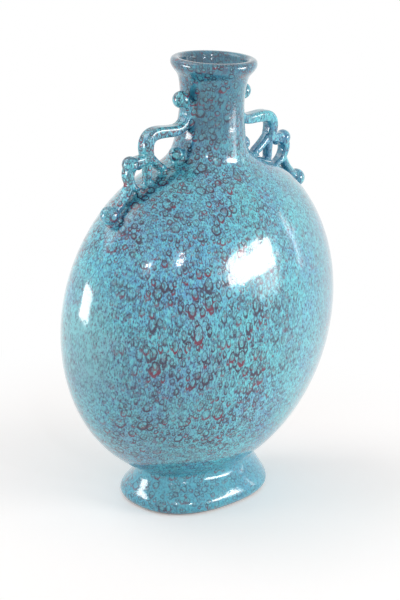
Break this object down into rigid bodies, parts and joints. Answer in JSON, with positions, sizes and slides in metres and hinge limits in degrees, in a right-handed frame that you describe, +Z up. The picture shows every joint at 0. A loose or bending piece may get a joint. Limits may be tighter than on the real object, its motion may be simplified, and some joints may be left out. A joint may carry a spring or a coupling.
{
  "type": "pilgrim flask",
  "caption": "Glazed ceramic pilgrim flask: flattened round belly, flared neck, oval foot ring and openwork scroll handles at the shoulders.",
  "frame": {"origin": "centre of the underside of the foot, at the bottom of the flask", "axes": "+Z up through the mouth, X along the wide axis with the two handles, the front face looks along -Y"},
  "size_m": [0.223, 0.13, 0.2996],
  "materials": {
    "body_glaze": "gloss",
    "handle_glaze": "gloss"
  },
  "bodies": {
    "root": {"front_shell": "body_glaze", "back_shell": "body_glaze", "neck": "body_glaze", "foot_ring": "body_glaze", "left_upper_pearl": "handle_glaze", "left_handle_scroll": "handle_glaze", "left_handle_brace": "handle_glaze", "left_handle_prop": "handle_glaze", "left_handle_curl": "handle_glaze", "left_handle_tail": "handle_glaze", "left_lower_pearl": "handle_glaze", "left_neck_knob": "handle_glaze", "right_upper_pearl": "handle_glaze", "right_handle_scroll": "handle_glaze", "right_handle_brace": "handle_glaze", "right_handle_prop": "handle_glaze", "right_handle_curl": "handle_glaze", "right_handle_tail": "handle_glaze", "right_lower_pearl": "handle_glaze", "right_neck_knob": "handle_glaze"}
  },
  "joints": []
}
